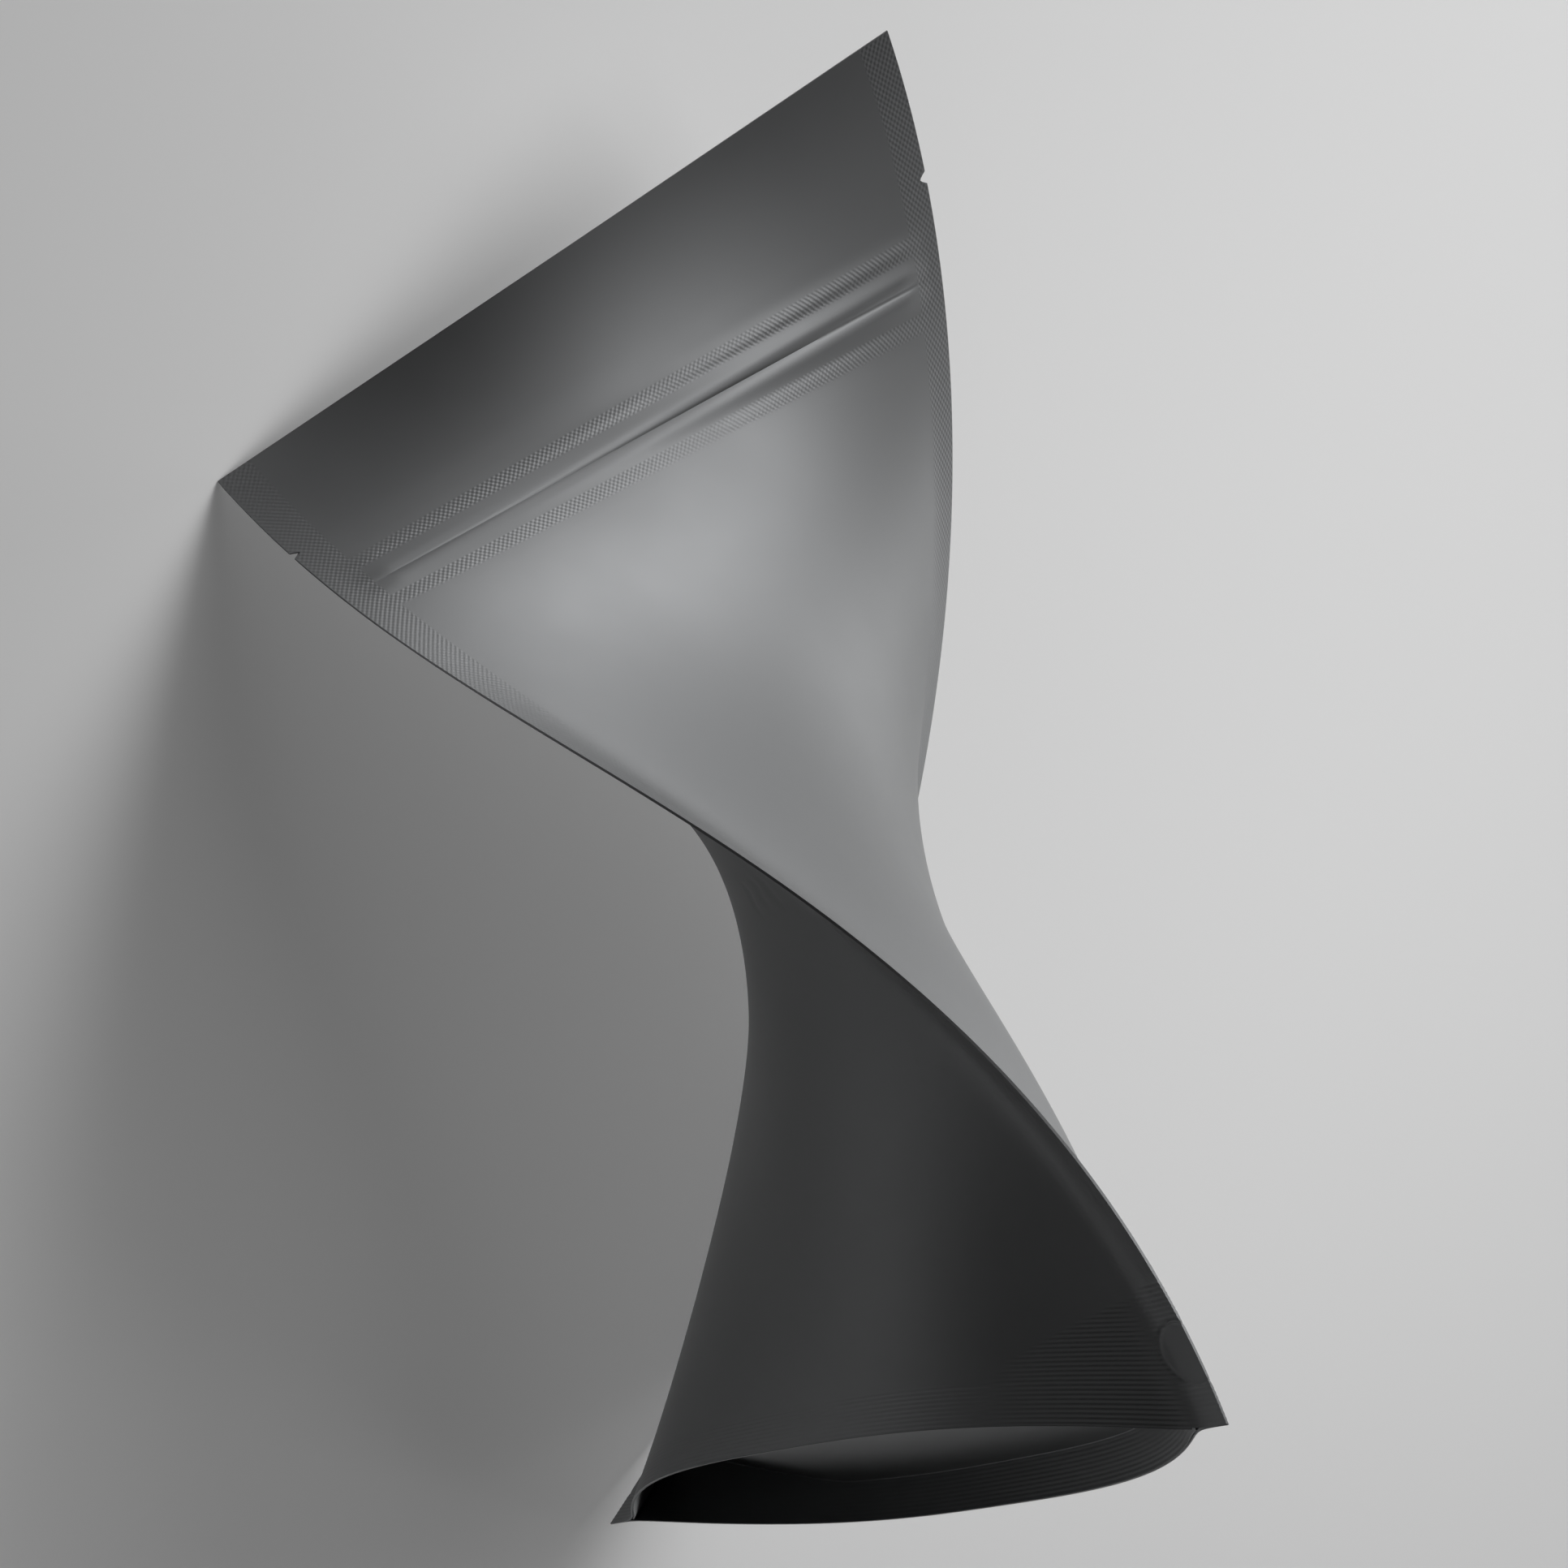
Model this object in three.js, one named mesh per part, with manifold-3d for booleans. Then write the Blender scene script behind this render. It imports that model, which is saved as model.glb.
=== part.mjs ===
// A stand-up pouch of foil laminate: two panels sealed along both sides, a zip across the
// header, tear notches, and a gusset that leaves an open skirt round the bottom. The pouch
// is twisted about its own height and bowed, and it lies on its back edge.
// Millimetres, +Z up, the closed top end towards +Y.
import * as THREE from 'three';
import { mergeVertices } from 'three/addons/utils/BufferGeometryUtils.js';
import Module from 'manifold-3d';

const deg = Math.PI / 180;

// The flat pouch
const pouchWidth = 160;
const pouchHeight = 247.7;
const sideSeal = 6.4;             // flat, welded margin down each side
const sealThickness = 0.8;        // two panels pressed together
const zipHeight = 209.8;          // centre line of the zip above the bottom edge
const zipWeld = { off: 7, half: 1.65, rise: 0.25 };   // a weld stands out on each side of the zip
const zipSwell = 0.6;             // between the welds the strips inside push each panel out
const zipGroove = { half: 2.2, depth: 0.4 };          // the closed profile shows as a fine groove
const notchHeight = 223.9;
const notchDepth = 1.5;
const notchHalf = 1.3;

// The filled-out body: how far each panel stands off the middle plane
const bottomHalfDepth = 28.5;
const flare = 1.8;                // how fast the depth first grows above the bottom
const bodyTop = 0.877;            // share of the height where the panels meet again
const taper = { start: 1.27, power: 2.0 };
const sectionBottom = { roundness: 2.89, fullness: 1.105 };
const sectionTop = { roundness: 2.07, fullness: 0.832 };

// The skirt and the gusset inside it
const skirtWall = 1.0;
const skirtHeight = 7.6;          // from the bottom edge up to the gusset weld
const skirtCornerRise = 9.2;      // the weld climbs this much more towards the side seals
const skirtRiseStart = 0.5;       // share of the half width where it starts to climb
const skirtRisePower = 1.3;
const gussetDome = 6;             // the gusset arches up between its welds
const gussetRoundness = 3;
const recessEnd = 0.885;          // share of the half width that the recess reaches
const recessEndGap = 0.3;
const belowRim = 3;               // the cutting form starts this far below the bottom edge

// The twist and the bow of the whole pouch, and how it lies
const twist = -120.5 * deg;
const bow = -51.6 * deg;
const bowDirection = -28.5 * deg;
const lying = new THREE.Euler(-105.0 * deg, -25.8 * deg, 27.8 * deg, 'XYZ');
// Centres it over the origin and sets it on the floor, 0.35 mm low: the edge is pressed flat there
const shift = new THREE.Vector3(25.61, -9.47, 52.9);

// How finely the faces are drawn
const columns = 26;
const rowStep = 6;
const recessColumns = 24;
const recessDepthCells = 10;
const recessRows = 4;

// Heights of the mesh rows: even steps, with finer ones at the zip and the notches
function rowHeights() {
  const fine = [];
  const weldRows = [-1, 0, 1].map((side) => zipWeld.off + side * zipWeld.half);
  for (const off of [0, zipGroove.half, ...weldRows]) {
    fine.push(zipHeight + off);
    if (off > 0) {
      fine.push(zipHeight - off);
    }
  }
  for (const share of [-1, -0.75, 0, 0.75, 1]) {
    fine.push(notchHeight + share * notchHalf);
  }
  const rows = [0, pouchHeight, ...fine];
  const steps = Math.round(pouchHeight / rowStep);
  for (let step = 1; step < steps; step += 1) {
    const height = (pouchHeight * step) / steps;
    if (fine.every((other) => Math.abs(other - height) > rowStep / 3)) {
      rows.push(height);
    }
  }
  return rows.sort((a, b) => a - b);
}

// Places across the pouch, -1 to 1: closer together near the seals, with one on each seal line
function columnPlaces() {
  const sealLine = 1 - sideSeal / (pouchWidth / 2);
  const places = [-1, 1];
  for (let step = 0; step <= columns; step += 1) {
    const even = (2 * step) / columns - 1;
    places.push(sealLine * Math.sin((even * Math.PI) / 2) * 0.5 + sealLine * even * 0.5);
  }
  return places.sort((a, b) => a - b);
}

// How far a panel stands off the middle plane at a place across and a share of the height
function halfDepth(across, share) {
  const t = THREE.MathUtils.clamp(share, 0, 1);
  const inner = Math.abs(across) / (1 - sideSeal / (pouchWidth / 2));
  if (inner >= 1 || t >= bodyTop) {
    return 0;
  }
  const roundness = THREE.MathUtils.lerp(sectionBottom.roundness, sectionTop.roundness, t);
  const fullness = THREE.MathUtils.lerp(sectionBottom.fullness, sectionTop.fullness, t);
  const section = (1 - inner ** roundness) ** fullness;
  const body = (1 - (t / bodyTop) ** taper.start) ** taper.power;
  return bottomHalfDepth * (1 + flare * t) * body * section;
}

// The zip stands out a little on both panels and dies away into the side seals
function zipRelief(across, height) {
  const off = Math.abs(height - zipHeight);
  const inner = Math.abs(across) / (1 - sideSeal / (pouchWidth / 2));
  if (off >= zipWeld.off + zipWeld.half || inner >= 1) {
    return 0;
  }
  const reach = zipWeld.off - zipWeld.half;
  const swell = off < reach ? zipSwell * Math.cos((Math.PI * off) / (2 * reach)) ** 2 : 0;
  const groove = zipGroove.depth * Math.max(1 - off / zipGroove.half, 0) ** 2;
  const weld = zipWeld.rise * Math.max(1 - ((off - zipWeld.off) / zipWeld.half) ** 2, 0);
  return (swell - groove + weld) * Math.sqrt(1 - inner ** 8);
}

// The side edge is notched where the header tears open
function edgeInset(height) {
  const offset = (height - notchHeight) / notchHalf;
  return Math.abs(offset) < 1 ? notchDepth * Math.sqrt(1 - offset * offset) : 0;
}

// From a point of the straight pouch (across, off the middle plane, height) to the twisted,
// bowed pouch as it lies
function place(x, y, height) {
  const share = height / pouchHeight - 0.5;
  const turn = twist * share;
  const turnedX = x * Math.cos(turn) - y * Math.sin(turn);
  const turnedY = x * Math.sin(turn) + y * Math.cos(turn);
  const along = turnedX * Math.cos(bowDirection) + turnedY * Math.sin(bowDirection);
  const aside = turnedY * Math.cos(bowDirection) - turnedX * Math.sin(bowDirection);
  const bowRadius = pouchHeight / bow;
  const angle = bow * share;
  const bowed = bowRadius - (bowRadius - along) * Math.cos(angle);
  const point = new THREE.Vector3(
    bowed * Math.cos(bowDirection) - aside * Math.sin(bowDirection),
    bowed * Math.sin(bowDirection) + aside * Math.cos(bowDirection),
    (bowRadius - along) * Math.sin(angle),
  );
  return point.applyEuler(lying).add(shift);
}

// Moves every vertex of a closed box grid by a function of its own box coordinates
function warpBox(box, move) {
  const position = box.getAttribute('position');
  for (let index = 0; index < position.count; index += 1) {
    const point = move(position.getX(index), position.getY(index), position.getZ(index));
    position.setXYZ(index, point.x, point.y, point.z);
  }
  box.deleteAttribute('normal');
  box.deleteAttribute('uv');
  return mergeVertices(box, 1e-4);
}

// The whole pouch with a flat bottom: a box grid, 2 wide, 2 deep and 1 high
function pouchForm() {
  const rows = rowHeights();
  const places = columnPlaces();
  const grid = new THREE.BoxGeometry(2, 2, 1, places.length - 1, 1, rows.length - 1);
  return warpBox(grid, (x, y, z) => {
    const across = places[Math.round(((x + 1) / 2) * (places.length - 1))];
    const height = rows[Math.round((z + 0.5) * (rows.length - 1))];
    const share = height / pouchHeight;
    const off = sealThickness / 2 + halfDepth(across, share) + zipRelief(across, height);
    const inset = Math.abs(across) === 1 ? edgeInset(height) * Math.sign(across) : 0;
    return place(across * (pouchWidth / 2) - inset, Math.sign(y) * off, height);
  });
}

// Height of the gusset weld at a place across
function weldHeight(across) {
  const climb = THREE.MathUtils.clamp((Math.abs(across) - skirtRiseStart) / (1 - skirtRiseStart), 0, 1);
  return skirtHeight + skirtCornerRise * climb ** skirtRisePower;
}

// The room inside the skirt, from just below the bottom edge up to the arched gusset
function recessForm() {
  const grid = new THREE.BoxGeometry(2, 2, 1, recessColumns, recessDepthCells, recessRows);
  return warpBox(grid, (x, y, z) => {
    const across = x * recessEnd;
    const weld = weldHeight(across);
    const gap = (height) => Math.max(
      halfDepth(across, height / pouchHeight) + sealThickness / 2 - skirtWall,
      recessEndGap,
    );
    const dome = Math.min(gussetDome, gap(weld) / 2) * (1 - Math.abs(y) ** gussetRoundness);
    const height = THREE.MathUtils.lerp(-belowRim, weld + dome, z + 0.5);
    return place((across * pouchWidth) / 2, y * gap(height), height);
  });
}

// The floor that the lower edge is pressed flat against
function floorForm() {
  const slab = new THREE.BoxGeometry(2 * pouchHeight, 2 * pouchHeight, pouchWidth);
  slab.translate(0, 0, -pouchWidth / 2);
  slab.deleteAttribute('normal');
  slab.deleteAttribute('uv');
  return mergeVertices(slab, 1e-4);
}

const wasm = await Module();
wasm.setup();

function toSolid(geometry) {
  return new wasm.Manifold(new wasm.Mesh({
    numProp: 3,
    vertProperties: new Float32Array(geometry.getAttribute('position').array),
    triVerts: new Uint32Array(geometry.index.array),
  }));
}

function toGeometry(solid) {
  const mesh = solid.getMesh();
  const geometry = new THREE.BufferGeometry();
  geometry.setAttribute('position', new THREE.BufferAttribute(new Float32Array(mesh.vertProperties), 3));
  geometry.setIndex(new THREE.BufferAttribute(new Uint32Array(mesh.triVerts), 1));
  geometry.computeVertexNormals();
  return geometry;
}

const foil = new THREE.MeshStandardMaterial({ color: 0x8d9194, roughness: 0.42, metalness: 0.9 });

const cutOut = toSolid(recessForm()).add(toSolid(floorForm()));
const pouch = new THREE.Mesh(toGeometry(toSolid(pouchForm()).subtract(cutOut)), foil);
pouch.name = 'foil_pouch';

const model = new THREE.Group();
model.add(pouch);
export default model;
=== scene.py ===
# %% [markdown]
# # A twisted foil pouch
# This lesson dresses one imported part: a shut stand-up pouch of matte foil laminate, twisted and
# bowed, that lies on its back edge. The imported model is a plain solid. Here the pouch is rebuilt
# from the three sheets of film that a real one is made of: a front panel, a back panel and a gusset
# film that arches up inside the open skirt at the bottom.

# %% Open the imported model
import math

import bpy
import numpy as np
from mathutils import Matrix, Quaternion, Vector


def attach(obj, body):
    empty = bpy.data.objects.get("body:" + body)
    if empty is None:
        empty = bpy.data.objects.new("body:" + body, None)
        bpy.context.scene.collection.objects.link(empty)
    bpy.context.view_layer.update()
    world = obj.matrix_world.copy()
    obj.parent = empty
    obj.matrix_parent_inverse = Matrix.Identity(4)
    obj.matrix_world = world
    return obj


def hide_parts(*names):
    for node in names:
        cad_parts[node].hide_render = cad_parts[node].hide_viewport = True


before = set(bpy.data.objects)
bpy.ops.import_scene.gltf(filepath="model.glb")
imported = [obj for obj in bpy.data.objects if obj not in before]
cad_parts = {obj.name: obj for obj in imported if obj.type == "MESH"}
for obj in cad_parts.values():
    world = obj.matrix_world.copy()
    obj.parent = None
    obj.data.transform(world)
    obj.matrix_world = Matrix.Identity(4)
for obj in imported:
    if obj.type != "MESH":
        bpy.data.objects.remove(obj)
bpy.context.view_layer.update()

# %% [markdown]
# ## The real sizes
# A pouch is made flat, so every size is a size of the flat pouch, in millimetres: x runs across it
# from the middle, and height runs up from the bottom edge. The film is drawn 0.3 mm thick, about
# twice the real laminate, so that its cut edges show as the fine bright lines they are.

# %% Sizes of the flat pouch
MM = 0.001
POUCH_WIDTH = 160.0
POUCH_HEIGHT = 247.7
HALF_WIDTH = POUCH_WIDTH / 2
FILM = 0.3
FILM_GAP = 0.02            # half the gap between two films that are pressed together
SIDE_SEAL = 6.4            # the flat margin down each side
ZIP_HEIGHT = 209.4
ZIP_WELD_OFF = 6.0         # each zip strip is welded on this far above and below the zip line
ZIP_WELD_HALF = 1.55
NOTCH_HEIGHT = 224.1
NOTCH_HALF = 0.95
NOTCH_DEPTH = 1.6

# The filled-out body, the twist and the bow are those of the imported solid
BOTTOM_HALF_DEPTH = 28.5
FLARE = 1.8
BODY_TOP = 0.877
TAPER_START = 1.27
TAPER_POWER = 2.0
ROUNDNESS = (2.89, 2.07)   # at the bottom and at the top
FULLNESS = (1.105, 0.832)
TWIST = math.radians(-120.5)
BOW = math.radians(-51.6)
BOW_DIRECTION = math.radians(-28.5)
LYING_TURN = [math.radians(angle) for angle in (-105.0, -25.8, 27.8)]
LYING_SHIFT = (25.61, -9.47, 52.9)

print("flat pouch, mm:", POUCH_WIDTH, "wide and", POUCH_HEIGHT, "high")

# %% [markdown]
# ## How far a panel stands off the middle plane
# Air or contents push the two panels apart. Lower down the pouch is wide open, because the gusset
# keeps the bottom apart, and it closes towards the zip. The formula is a rounded section that fades
# with height, so the panel is one smooth sheet without a crease, as taut film is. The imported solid
# has a sharp seal line. Real film is stiff and bends over a few millimetres there, so the formula
# is averaged across that distance.


# %% The filled-out body
SEAL_BEND = 4.8            # the stiff film bends over this far on both sides of the seal line
BEND_STEPS = 4             # the average takes this many steps on each side


def sharp_half_depth(x, height):
    """Half the thickness of the filled body, in mm, with a sharp seal line."""
    share = np.clip(height / POUCH_HEIGHT, 0, 1)
    inner = np.abs(x) / (HALF_WIDTH - SIDE_SEAL)
    roundness = ROUNDNESS[0] + (ROUNDNESS[1] - ROUNDNESS[0]) * share
    fullness = FULLNESS[0] + (FULLNESS[1] - FULLNESS[0]) * share
    section = np.clip(1 - inner**roundness, 0, 1) ** fullness
    body = np.clip(1 - (share / BODY_TOP) ** TAPER_START, 0, 1) ** TAPER_POWER
    return BOTTOM_HALF_DEPTH * (1 + FLARE * share) * body * section


def half_depth(x, height):
    """The same, with the film bending softly into the side seals."""
    total = 0 * x
    for step in range(1 - BEND_STEPS, BEND_STEPS):
        aside = step / BEND_STEPS * SEAL_BEND
        total = total + (BEND_STEPS - abs(step)) * sharp_half_depth(x + aside, height)
    return total / BEND_STEPS**2


def smooth_step(low, high, value):
    """0 below low, 1 above high, and a soft change between them."""
    share = np.clip((value - low) / (high - low), 0, 1)
    return share * share * (3 - 2 * share)


print("body thickness at the bottom, mm:", round(2 * float(half_depth(0.0, 0.0)), 1))

# %% [markdown]
# ## The zip
# The zip is two plastic strips inside. Each is welded to its panel along a raised knurled band, and
# between the bands the closed profile shows as a soft swelling with a sharp fine groove along its
# middle. The relief could be a strip of its own, but then its edges would show. It is a curve that
# lifts the panel's own points instead, so the film stays one sheet.


# %% Relief of the zip
ZIP_PROFILE = (            # above the zip line, and how far the film stands out there
    (9.6, 0), (8.6, 0.03), (7.6, 0.11), (6.6, 0.25), (6.0, 0.31), (5.7, 0.30), (5.1, 0.23),
    (4.7, 0.21), (4.3, 0.25), (3.6, 0.36), (2.6, 0.54), (1.8, 0.64), (0.9, 0.60), (0, 0.58),
    (-0.9, 0.55), (-1.5, 0.53), (-2.0, 0.48), (-2.4, 0.41), (-3.4, 0.20), (-4.3, 0.04),
    (-4.9, 0), (-5.6, 0.03), (-6.3, 0.04), (-7.0, 0.02), (-7.6, 0),
)
ZIP_SOFTEN = (-0.3, -0.15, 0, 0.15, 0.3)   # the curve is averaged over these shifts
ZIP_FADE = (12.0, 2.5)     # it dies away between these distances from the side edge
GROOVE_DEPTH = 0.42
GROOVE_WIDTH = 0.72


def zip_relief(x, height):
    """Height of the zip's relief on the panel."""
    above = height - ZIP_HEIGHT
    knots = np.array(ZIP_PROFILE[::-1]).T
    swell = sum(np.interp(above + step, *knots) for step in ZIP_SOFTEN) / len(ZIP_SOFTEN)
    groove = GROOVE_DEPTH * np.exp(-np.abs(above) / GROOVE_WIDTH)
    ends = 1 - smooth_step(HALF_WIDTH - ZIP_FADE[0], HALF_WIDTH - ZIP_FADE[1], np.abs(x))
    return (swell - groove) * ends


print("the zip stands out at most, mm:", max(rise for place, rise in ZIP_PROFILE))

# %% [markdown]
# ## The bottom weld
# The bottom weld is pressed by a bar with fine ribs, and it climbs towards both sides. The real
# ribs are about 0.57 mm apart, which is too fine for the picture, so they are drawn at 0.8 mm. The
# ring near each lower corner is where the panels are welded through a hole in the gusset film.

# %% Ribs and spot welds
RIB_PITCH = 0.8
RIB_RISE = 0.045
WELD_HEIGHT = 7.4          # top of the ribbed weld in the middle of the pouch
WELD_CLIMB_START = 46.0    # it starts to climb this far from the middle
WELD_CLIMB_SOFT = 8.0      # and takes up its slope over this far
WELD_CLIMB_SLOPE = 0.53
WELD_EDGE_SOFT = 0.4       # the ribs fade out over this far on both sides of its upper edge
SPOT_RADIUS = 5.0
SPOT_IN = 2.0              # its centre, in from the side edge
SPOT_HEIGHT = 11.4
SPOT_EDGE_SOFT = 0.5       # the ribs fade out over this far inside the ring
SPOT_LINE = 0.22           # depth of the ring that the welding tip leaves
SPOT_LINE_HALF = 0.3


def weld_top(x):
    """Height of the upper edge of the ribbed bottom weld."""
    climb = np.clip(np.abs(x) - WELD_CLIMB_START, 0, None)
    return WELD_HEIGHT + WELD_CLIMB_SLOPE * climb * smooth_step(0, WELD_CLIMB_SOFT, climb)


def spot_away(x, height):
    """Distance from the middle of the spot weld near each lower corner."""
    return np.hypot(np.abs(x) - (HALF_WIDTH - SPOT_IN), height - SPOT_HEIGHT)


def rib_relief(x, height):
    """Fine level ribs from the bottom edge up to the edge of the weld."""
    inside = 1 - smooth_step(-WELD_EDGE_SOFT, WELD_EDGE_SOFT, height - weld_top(x))
    inside = inside * smooth_step(SPOT_RADIUS - SPOT_EDGE_SOFT, SPOT_RADIUS, spot_away(x, height))
    return RIB_RISE * inside * np.sin(2 * math.pi * height / RIB_PITCH)


def spot_relief(x, height):
    """The thin ring round the spot weld near each lower corner."""
    away = (spot_away(x, height) - SPOT_RADIUS) / SPOT_LINE_HALF
    return -SPOT_LINE * np.exp(-(away**2))


print("top of the bottom weld at the side seal, mm:", round(float(weld_top(73.6)), 1))

# %% [markdown]
# ## The puckers
# The twist crowds the front panel against one side seal, and the film gives way in three short
# furrows. Each is a soft groove along a straight line, taken off the panel's own points.

# %% Puckers
PUCKER_DEPTH = 0.22
PUCKER_WIDTH = 0.9
PUCKER_ENDS = 0.5          # how much the distance past a furrow's ends counts
PUCKERS = (                # across and height, from the top of each furrow to its foot
    (-60.3, -57.5, 111.7, 108.5),
    (-65.7, -63.0, 111.8, 108.7),
    (-69.2, -67.5, 111.8, 107.4),
)


def pucker(x, height):
    """Three short furrows where the twist crowds the film against one side seal."""
    relief = 0 * x
    for top_x, foot_x, top, foot in PUCKERS:
        along = np.clip((top - height) / (top - foot), 0, 1)
        past_ends = np.maximum(height - top, 0) + np.maximum(foot - height, 0)
        away = np.hypot(x - (top_x + (foot_x - top_x) * along), PUCKER_ENDS * past_ends)
        relief = relief - PUCKER_DEPTH * np.exp(-((away / PUCKER_WIDTH) ** 2))
    return relief


print("puckers:", len(PUCKERS))

# %% [markdown]
# ## Where the sheet needs its rows and columns
# A sheet of even squares would need to be very fine everywhere to hold the ribs and the zip. So the
# rows are close together only where the relief is fine: in the ribs, at the puckers, at the zip and
# at the notches. The columns are close together in the side seals.


# %% Rows and columns of a panel
PLAIN_STEP = 2.0
ZIP_STEP = 0.36
ZIP_REACH = 9.9            # fine rows this far above and below the zip line
NOTCH_REACH = 1.14
ROW_STRETCHES = (          # the upper end of each stretch, and its largest step
    (23.0, 0.18),          # ribs and spot welds
    (102.0, PLAIN_STEP),
    (116.0, 0.8),          # puckers
    (ZIP_HEIGHT - ZIP_REACH, PLAIN_STEP),
    (ZIP_HEIGHT, ZIP_STEP),
    (ZIP_HEIGHT + ZIP_REACH, ZIP_STEP),
    (NOTCH_HEIGHT - NOTCH_REACH, PLAIN_STEP),
    (NOTCH_HEIGHT + NOTCH_REACH, 0.19),
    (POUCH_HEIGHT, PLAIN_STEP),
)
COLUMN_STRETCHES = (       # the same, from the middle to the side edge
    (54.0, PLAIN_STEP),
    (HALF_WIDTH - 10, 0.8),
    (HALF_WIDTH - 8, 0.7),
    (HALF_WIDTH, 0.36),    # side seal
)


def spaced(start, stretches):
    """Places from the start to the end of each stretch, at no more than its largest step."""
    places = [start]
    low = start
    for high, step in stretches:
        count = max(1, math.ceil((high - low) / step))
        places += [low + (high - low) * k / count for k in range(1, count + 1)]
        low = high
    return np.array(places)


panel_rows = spaced(0.0, ROW_STRETCHES)
right_half = spaced(0.0, COLUMN_STRETCHES)
panel_columns = np.concatenate([-right_half[:0:-1], right_half])
print("panel sheet:", len(panel_columns), "columns,", len(panel_rows), "rows")

# %% [markdown]
# ## From a flat sheet to a panel
# Each panel starts as a grid, a plain sheet of squares. Its points are moved to their rows and
# columns, the side edges are nicked where the header tears open, and then every point is lifted off
# the middle plane. The place of each point on the flat film is kept as an attribute, because the
# finish is pressed into the film while it is flat and has to follow it through the twist.


# %% A sheet of film
def select_only(piece):
    """Makes one piece the selected and the active one, as the operators need it."""
    bpy.ops.object.select_all(action="DESELECT")
    piece.select_set(True)
    bpy.context.view_layer.objects.active = piece


def grid_sheet(name, columns, rows):
    """A grid with that many columns and rows, and the column and the row of every point."""
    bpy.ops.object.select_all(action="DESELECT")
    bpy.ops.mesh.primitive_grid_add(x_subdivisions=columns - 1, y_subdivisions=rows - 1, size=2)
    piece = bpy.context.active_object
    piece.name = name
    piece.data.name = name
    flat = np.zeros(3 * len(piece.data.vertices))
    piece.data.vertices.foreach_get("co", flat)
    flat = flat.reshape(-1, 3)
    column = np.rint((flat[:, 0] + 1) / 2 * (columns - 1)).astype(int)
    row = np.rint((flat[:, 1] + 1) / 2 * (rows - 1)).astype(int)
    return piece, column, row


def set_points(piece, x, y, height):
    """Puts the points at x, y and height in mm, with the middle of the pouch at the origin."""
    place = np.stack([x, y, height - POUCH_HEIGHT / 2], axis=1) * MM
    piece.data.vertices.foreach_set("co", place.ravel())
    piece.data.update()


def keep_flat_place(piece, x, height, knurl):
    """Keeps where every point lies on the flat film, and how strongly the film is knurled there."""
    for name, values in (("film_across", x * MM), ("film_height", height * MM), ("knurl", knurl)):
        layer = piece.data.attributes.new(name, "FLOAT", "POINT")
        layer.data.foreach_set("value", np.asarray(values, dtype=np.float32))


# %% [markdown]
# ## Twist, bow and lay down
# The flat-made pouch is twisted about its own height and then bowed. Both are done by Simple Deform
# modifiers, which is how one would do it by hand. The modifier spreads its angle over the piece's
# own height, so a low piece such as the gusset gets its share of the whole angle. The bow bends
# towards X, so the piece is turned before it and the turn is taken back in the lying turn.


# %% The shared way from flat to lying
def turn_and_move(piece, angles, order, shift=(0, 0, 0)):
    """Turns and moves the piece and puts that into its mesh."""
    select_only(piece)
    piece.rotation_mode = order
    piece.rotation_euler = angles
    piece.location = Vector(shift) * MM
    bpy.ops.object.transform_apply(location=True, rotation=True, scale=True)
    piece.rotation_mode = "XYZ"


def apply_modifier(piece, kind, **settings):
    """Adds one modifier, sets it and applies it."""
    select_only(piece)
    modifier = piece.modifiers.new(kind.title(), kind)
    for key, value in settings.items():
        setattr(modifier, key, value)
    bpy.ops.object.modifier_apply(modifier=modifier.name)


def lay_down(piece):
    """Twists and bows a flat-made piece and lays it as the pouch lies."""
    heights = [vertex.co.z for vertex in piece.data.vertices]
    share = (max(heights) - min(heights)) / (POUCH_HEIGHT * MM)
    turn_and_move(piece, (0, 0, -BOW_DIRECTION), "XYZ")
    apply_modifier(
        piece, "SIMPLE_DEFORM", deform_method="TWIST", deform_axis="Z", angle=TWIST * share
    )
    apply_modifier(piece, "SIMPLE_DEFORM", deform_method="BEND", deform_axis="Y", angle=BOW * share)
    turn = (LYING_TURN[0], LYING_TURN[1], LYING_TURN[2] + BOW_DIRECTION)
    turn_and_move(piece, turn, "ZYX", LYING_SHIFT)


# %% [markdown]
# ## From a surface to film
# A sheet so far has no thickness. Solidify gives it one behind its visible face, and the cut edges
# get their own material slot. The pouch rests on one side edge, which its weight presses flat, so
# what would reach below the floor is moved up to it.

# %% Thickness, rest and smooth faces
SMOOTH_ANGLE = math.radians(40)


def thicken(piece):
    """Gives the film its thickness behind the visible face, and the rim the second material."""
    apply_modifier(
        piece, "SOLIDIFY", thickness=FILM * MM, offset=-1, use_even_offset=True,
        use_quality_normals=True, material_offset_rim=1,
    )


def rest_on_floor(piece):
    """Presses flat what would sink into the floor."""
    place = np.zeros(3 * len(piece.data.vertices))
    piece.data.vertices.foreach_get("co", place)
    place = place.reshape(-1, 3)
    sunk = int((place[:, 2] < 0).sum())
    place[:, 2] = np.maximum(place[:, 2], 0)
    piece.data.vertices.foreach_set("co", place.ravel())
    piece.data.update()
    print(piece.name, "rests on the floor with", sunk, "points")


def finish_mesh(piece):
    """Thickness, smooth faces with crisp cut edges, and the piece tied to the frame."""
    thicken(piece)
    rest_on_floor(piece)
    select_only(piece)
    bpy.ops.object.shade_smooth_by_angle(angle=SMOOTH_ANGLE)
    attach(piece, "root")
    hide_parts("foil_pouch")
    print(piece.name, "has", len(piece.data.polygons), "faces")


# %% [markdown]
# ## The two panels
# Both panels are the same sheet, one on each side of the middle plane. The header is nicked on both
# sides to start the tear, and the seal bars press a fine knurl into the side seals and the bands
# that hold the zip. It is strongest in the header and fades lower down.

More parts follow.
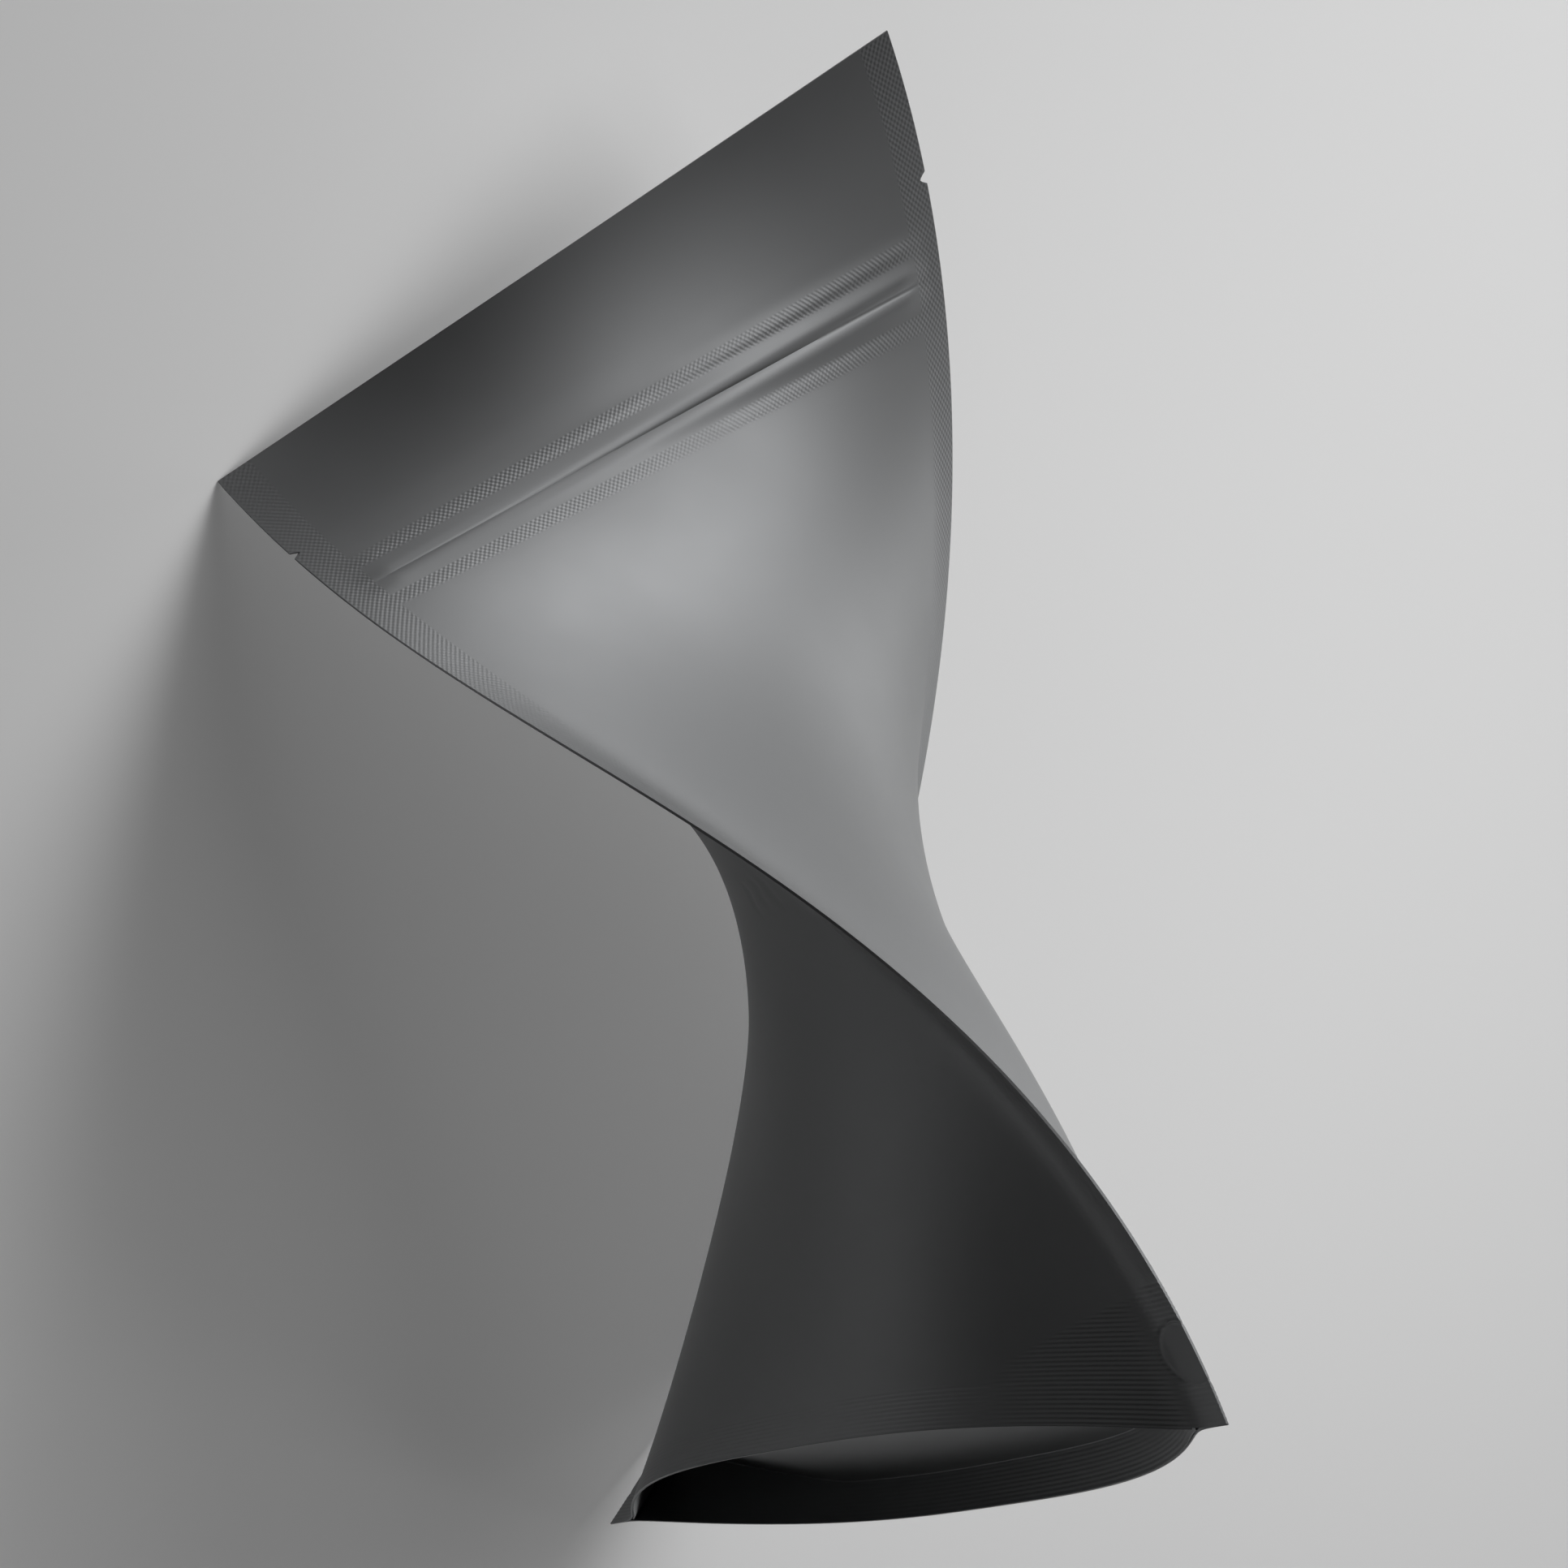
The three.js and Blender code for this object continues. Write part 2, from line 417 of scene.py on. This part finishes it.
# %% A panel
NOTCH_ROUNDNESS = 1.35     # 1 would be a V with straight sides
NOTCH_PULL = 5.0           # the nick draws in the film this far from the side edge
KNURL_START = (7.4, 6.9)   # the knurl sets in between these distances from the side edge
KNURL_LOW = 0.35           # its strength lower down
KNURL_CHANGE = (110, 175)  # it grows to its full strength between these heights
KNURL_FOOT = (8, 20)       # and fades out again between these, towards the bottom weld
BAND_SOFT = (0.25, 0.1)    # the zip's bands fade from this far inside their edge to outside it


def side_nick(height):
    """How far the tear notch cuts into the side edge: a small V with full sides."""
    off = np.abs(height - NOTCH_HEIGHT) / NOTCH_HALF
    return NOTCH_DEPTH * np.clip(1 - off**NOTCH_ROUNDNESS, 0, 1)


def knurl_share(x, height):
    """1 where the seal bars press their knurl into the film, 0 elsewhere."""
    seal = smooth_step(HALF_WIDTH - KNURL_START[0], HALF_WIDTH - KNURL_START[1], np.abs(x))
    seal = seal * (KNURL_LOW + (1 - KNURL_LOW) * smooth_step(*KNURL_CHANGE, height))
    seal = seal * smooth_step(*KNURL_FOOT, height)
    off = np.abs(np.abs(height - ZIP_HEIGHT) - ZIP_WELD_OFF)
    band = 1 - smooth_step(ZIP_WELD_HALF - BAND_SOFT[0], ZIP_WELD_HALF + BAND_SOFT[1], off)
    return np.maximum(seal, band)


def face_out(piece):
    """Turns the faces of a sheet round."""
    select_only(piece)
    bpy.ops.object.mode_set(mode="EDIT")
    bpy.ops.mesh.select_all(action="SELECT")
    bpy.ops.mesh.flip_normals()
    bpy.ops.object.mode_set(mode="OBJECT")


def panel(name, side):
    """One panel of the pouch, on the side +1 or -1 of the middle plane."""
    piece, column, row = grid_sheet(name, len(panel_columns), len(panel_rows))
    x, height = panel_columns[column], panel_rows[row]
    pull = smooth_step(HALF_WIDTH - NOTCH_PULL, HALF_WIDTH, np.abs(x))
    x = x - np.sign(x) * side_nick(height) * pull
    relief = zip_relief(x, height) + rib_relief(x, height) + spot_relief(x, height)
    if side > 0:
        relief = relief + pucker(x, height)
    off = FILM_GAP + FILM + half_depth(x, height) + relief
    set_points(piece, x, side * off, height)
    keep_flat_place(piece, x, height, knurl_share(x, height))
    lay_down(piece)
    if side > 0:
        face_out(piece)    # a grid that is stood up faces -y
    finish_mesh(piece)
    return piece


front_panel = panel("front_panel", +1)
back_panel = panel("back_panel", -1)

# %% [markdown]
# ## The gusset film
# The gusset is one more sheet. It lines the skirt on both sides, is welded there to the panels, and
# arches across between the two weld lines. The sheet runs up the lining of one side, over the arch
# and down the other, with a tight fold where it leaves the panels.

# %% Sizes of the gusset
GUSSET_END = 72.6          # it ends here, inside the side seals
GUSSET_LINE = 7.6          # height of the line where it leaves the panels
GUSSET_CLIMB = 9.2
GUSSET_CLIMB_START = 0.5
GUSSET_CLIMB_POWER = 1.3
GUSSET_ARCH = 1.4
CORNER = 0.12              # radius of the fold where it leaves the panel
LINING_GAP = 0.05          # between the lining and the panel behind it
LINING_SLACK = 0.35        # the lining stands off this much more near its ends
LINING_SLACK_AT = (60, 70)
LINING_RIBS = 0.3          # the share of the ribs' height that shows on the lining
LEAST_OFF = 0.05           # it stays this far from the middle plane
LINING_ROWS = 90
ARCH_ROWS = 44
GUSSET_STRETCHES = ((-55, 1.0), (55, 2.0), (GUSSET_END, 1.0))


def gusset_line(x):
    """Height at which the gusset film leaves the panels."""
    share = np.clip((np.abs(x) / HALF_WIDTH - GUSSET_CLIMB_START) / (1 - GUSSET_CLIMB_START), 0, 1)
    return GUSSET_LINE + GUSSET_CLIMB * share**GUSSET_CLIMB_POWER


def lining_off(x, height):
    """How far the visible face of the lining stands off the middle plane."""
    slack = LINING_SLACK * smooth_step(*LINING_SLACK_AT, np.abs(x))
    film = LINING_GAP + FILM + slack + LINING_RIBS * rib_relief(x, height)
    return np.maximum(half_depth(x, height) + FILM_GAP - film, LEAST_OFF)


print("the gusset film leaves the panels, mm:", GUSSET_LINE, "above the bottom edge")


# %% The gusset
def gusset():
    """The gusset film, as one sheet from the front bottom edge to the back bottom edge."""
    columns = spaced(-GUSSET_END, GUSSET_STRETCHES)
    rows = 2 * LINING_ROWS + ARCH_ROWS
    piece, column, row = grid_sheet("gusset_film", len(columns), rows + 1)
    x = columns[column]
    line = gusset_line(x)
    front = row <= LINING_ROWS
    back = row >= LINING_ROWS + ARCH_ROWS
    up = np.where(front, row, rows - row) / LINING_ROWS
    lining_height = line * np.clip(up, 0, 1)
    wall = lining_off(x, line)
    swing = np.clip((row - LINING_ROWS) / ARCH_ROWS, 0, 1) * math.pi
    across = np.cos(swing)
    radius = np.minimum(CORNER, 0.5 * wall)
    in_corner = np.clip(wall * (1 - np.abs(across)) / radius, 0, 1)
    corner = radius * np.sqrt(np.clip(1 - (1 - in_corner) ** 2, 0, 1))
    arch = np.minimum(GUSSET_ARCH, 0.25 * wall) * (1 - across**2)
    side = np.where(front, 1.0, -1.0)
    lining = front | back
    height = np.where(lining, lining_height, line + corner + arch)
    y = np.where(lining, side * lining_off(x, lining_height), wall * across)
    set_points(piece, x, y, height)
    keep_flat_place(piece, x, height, 0 * x)
    lay_down(piece)
    finish_mesh(piece)
    return piece


gusset_film = gusset()

# %% [markdown]
# ## The finish
# The film is a laminate: a matte lacquered polyester skin over aluminium foil over a sealing layer.
# To the eye it is a cool grey metal with a wide soft sheen and no clear mirror image. The metal
# keeps its default index of refraction, and its roughness sets how wide the sheen is. The knurl of
# the seal bars is two crossing sets of fine diagonal lines. On the real film it repeats about every
# 0.8 mm, which the picture can hardly resolve, so it is drawn at 1.15 mm. The foil's base colour is
# darker than clean foil, because the lacquer is grey and because the floor here is pale.


# %% Helpers for materials
def linear(hex_colour):
    """An sRGB hex colour as linear red, green, blue and alpha."""
    channels = [int(hex_colour[k : k + 2], 16) / 255 for k in (1, 3, 5)]
    light = [c / 12.92 if c <= 0.04045 else ((c + 0.055) / 1.055) ** 2.4 for c in channels]
    return (*light, 1.0)


def new_material(name):
    """An empty node material with its output, and its tree."""
    material = bpy.data.materials.new(name)
    material.use_nodes = True
    material.node_tree.nodes.clear()
    return material, material.node_tree


def add_node(tree, kind, links=(), **settings):
    """Adds a node. Settings name its properties or inputs; links are (input, output socket)."""
    node = tree.nodes.new(kind)
    for key, value in settings.items():
        if hasattr(node, key):
            setattr(node, key, value)
        else:
            node.inputs[key.replace("_", " ")].default_value = value
    for target, source in links:
        tree.links.new(source, node.inputs[target])
    return node


# %% Foil laminate
KNURL_PITCH = 1.15 * MM
KNURL_RISE = 0.025 * MM
CLOUD_SIZE = 35 * MM       # the lacquer is a little more or less matte from place to place
CLOUD_RANGE = (0.3, 0.7)
FOIL_ROUGHNESS = (0.49, 0.53)


def foil_laminate():
    """Matte lacquered aluminium foil laminate: a cool grey metal with a wide soft sheen."""
    material, tree = new_material("matte_foil_laminate")
    across = add_node(tree, "ShaderNodeAttribute", attribute_name="film_across")
    height = add_node(tree, "ShaderNodeAttribute", attribute_name="film_height")
    knurl = add_node(tree, "ShaderNodeAttribute", attribute_name="knurl")
    waves = []
    for place in (across, height):
        turns = add_node(tree, "ShaderNodeMath", [(0, place.outputs["Fac"])], operation="MULTIPLY")
        turns.inputs[1].default_value = 2 * math.pi / KNURL_PITCH
        waves.append(add_node(tree, "ShaderNodeMath", [(0, turns.outputs[0])], operation="COSINE"))
    both = add_node(
        tree, "ShaderNodeMath", [(0, waves[0].outputs[0]), (1, waves[1].outputs[0])],
        operation="MULTIPLY",
    )
    pressed = add_node(
        tree, "ShaderNodeMath", [(0, both.outputs[0]), (1, knurl.outputs["Fac"])],
        operation="MULTIPLY",
    )
    bump = add_node(
        tree, "ShaderNodeBump", [("Height", pressed.outputs[0])], Strength=1.0, Distance=KNURL_RISE
    )
    coordinates = add_node(tree, "ShaderNodeTexCoord")
    cloud = add_node(
        tree, "ShaderNodeTexNoise", [("Vector", coordinates.outputs["Object"])],
        Scale=1 / CLOUD_SIZE, Detail=3.0,
    )
    rough = add_node(
        tree, "ShaderNodeMapRange", [("Value", cloud.outputs["Fac"])],
        From_Min=CLOUD_RANGE[0], From_Max=CLOUD_RANGE[1],
        To_Min=FOIL_ROUGHNESS[0], To_Max=FOIL_ROUGHNESS[1],
    )
    shader = add_node(
        tree, "ShaderNodeBsdfPrincipled",
        [("Normal", bump.outputs["Normal"]), ("Roughness", rough.outputs["Result"])],
        Base_Color=linear("#7F8081"), Metallic=1.0,
    )
    add_node(tree, "ShaderNodeOutputMaterial", [("Surface", shader.outputs["BSDF"])])
    return material


# %% Cut edge
def cut_edge():
    """The cut edge of the laminate: milky sealing film with a hair of bare aluminium in it."""
    material, tree = new_material("cut_laminate_edge")
    shader = add_node(
        tree, "ShaderNodeBsdfPrincipled", Base_Color=linear("#B4B6B8"), Metallic=0.6, Roughness=0.45
    )
    add_node(tree, "ShaderNodeOutputMaterial", [("Surface", shader.outputs["BSDF"])])
    return material


foil = foil_laminate()
edge = cut_edge()
for piece in (front_panel, back_panel, gusset_film):
    piece.data.materials.clear()
    piece.data.materials.append(foil)
    piece.data.materials.append(edge)
print("finishes:", foil.name, "and", edge.name)

# %% [markdown]
# ## Camera
# The photograph looks down on the pouch at about 48 degrees from its side, with the camera turned
# on its side, so that the top of the pouch points up in the picture.

# %% Camera
CAMERA_PLACE = Vector((-402.73, -142.71, 536.67))
CAMERA_AIM = Vector((-4.48, -8.92, 73.57))
CAMERA_ROLL = math.radians(89.79)
CAMERA_LENS = 78.15
CAMERA_SENSOR = 36         # width of the sensor, in mm as the lens
NEAREST_VIEW = 0.01        # nothing nearer than this is drawn, in metres

bpy.ops.object.camera_add(location=CAMERA_PLACE * MM)
camera = bpy.context.active_object
camera.data.sensor_width = CAMERA_SENSOR
camera.data.lens = CAMERA_LENS
camera.data.clip_start = NEAREST_VIEW
upright = (CAMERA_AIM - CAMERA_PLACE).to_track_quat("-Z", "Y")
camera.rotation_mode = "QUATERNION"
camera.rotation_quaternion = upright @ Quaternion((0, 0, 1), CAMERA_ROLL)
bpy.context.scene.camera = camera
print("camera to pouch, mm:", round((CAMERA_AIM - CAMERA_PLACE).length))

# %% [markdown]
# ## Floor and light
# The pouch lies on a plain pale paper floor in a dark studio, so the foil shows only the softboxes
# and the floor. The wide key stands behind the top end and makes the broad sheen of the body. The
# low boxes stand along the far side, because the waist mirrors what lies almost level across the
# floor. Foil has hardly any colour of its own, so the boxes make its tones. Their powers were
# solved from a render of each box alone, to come close to the greys of the photograph, and a few
# were then changed.

# %% Floor
FLOOR_SIZE = 30            # in metres, so that its edge is far away in low views

bpy.ops.object.select_all(action="DESELECT")
bpy.ops.mesh.primitive_plane_add(size=FLOOR_SIZE)
floor = bpy.context.active_object
floor.name = "floor"
paper, paper_tree = new_material("pale_paper_floor")
paper_shader = add_node(
    paper_tree, "ShaderNodeBsdfPrincipled", Base_Color=linear("#ECECEC"), Roughness=0.8
)
add_node(paper_tree, "ShaderNodeOutputMaterial", [("Surface", paper_shader.outputs["BSDF"])])
floor.data.materials.append(paper)
print("floor finish:", paper.name)

# %% Softboxes
LIGHT_DISTANCE = 1600      # mm from the pouch
LIGHT_AIM = 80             # height above the floor that the boxes look at

world = bpy.data.worlds.new("dark_studio")
bpy.context.scene.world = world
world.use_nodes = True
world.node_tree.nodes["Background"].inputs["Strength"].default_value = 0.0
bpy.context.scene.view_settings.view_transform = "Standard"


def softbox(name, azimuth, elevation, size, power):
    """A square area light that looks at the pouch. Azimuth 0 is towards +Y, 90 towards +X."""
    turn, rise = math.radians(azimuth), math.radians(elevation)
    level = math.cos(rise)
    towards = Vector((math.sin(turn) * level, math.cos(turn) * level, math.sin(rise)))
    place = (Vector((0, 0, LIGHT_AIM)) + towards * LIGHT_DISTANCE) * MM
    bpy.ops.object.light_add(type="AREA", location=place)
    light = bpy.context.active_object
    light.name = name
    light.data.size = size * MM
    light.data.energy = power
    light.rotation_mode = "QUATERNION"
    light.rotation_quaternion = (-towards).to_track_quat("-Z", "Y")
    light.visible_camera = False


softbox("key", 20, 25, 700, 6.4)
softbox("key_high", 40, 45, 700, 6.1)
softbox("top", 40, 65, 700, 2.9)
softbox("body_glow", 5, 18, 350, 2.7)
softbox("body_low", 0, 3, 400, 3.6)
softbox("left_low", -60, 8, 600, 0.75)
softbox("far_left_low", 50, 3, 400, 1.6)
softbox("far_mid_low", 60, 3, 400, 1.5)
softbox("far_right_low", 75, 4, 400, 1.4)
softbox("waist_low", 100, 3, 400, 5.0)
softbox("front_fill", -140, 30, 700, 0.6)

# %% [markdown]
# ## Light for the floor alone
# Foil shows what it faces, and half of this pouch faces the floor. Two small lamps hang over the
# floor, one beside the pouch and one below it. They light the floor alone and cast no shadow, so
# the floor stays pale and its shadow open while the foil keeps its dark tones. Multiple importance
# sampling is off for them, because with it on they gave much less light inside the pouch's shadow.

# %% Floor lamps
floor_only = bpy.data.collections.new("floor_only")
bpy.context.scene.collection.children.link(floor_only)
floor_only.objects.link(floor)


def floor_lamp(name, place, size, power):
    """A square lamp that looks straight down and lights the floor alone, without a shadow."""
    bpy.ops.object.light_add(type="AREA", location=Vector(place) * MM)
    light = bpy.context.active_object
    light.name = name
    light.data.size = size * MM
    light.data.energy = power
    light.data.use_shadow = False
    light.data.cycles.use_multiple_importance_sampling = False
    light.visible_camera = False
    light.light_linking.receiver_collection = floor_only


floor_lamp("floor_beside", (190, 30, 360), 300, 0.31)
floor_lamp("floor_below", (30, -110, 260), 200, 0.03)
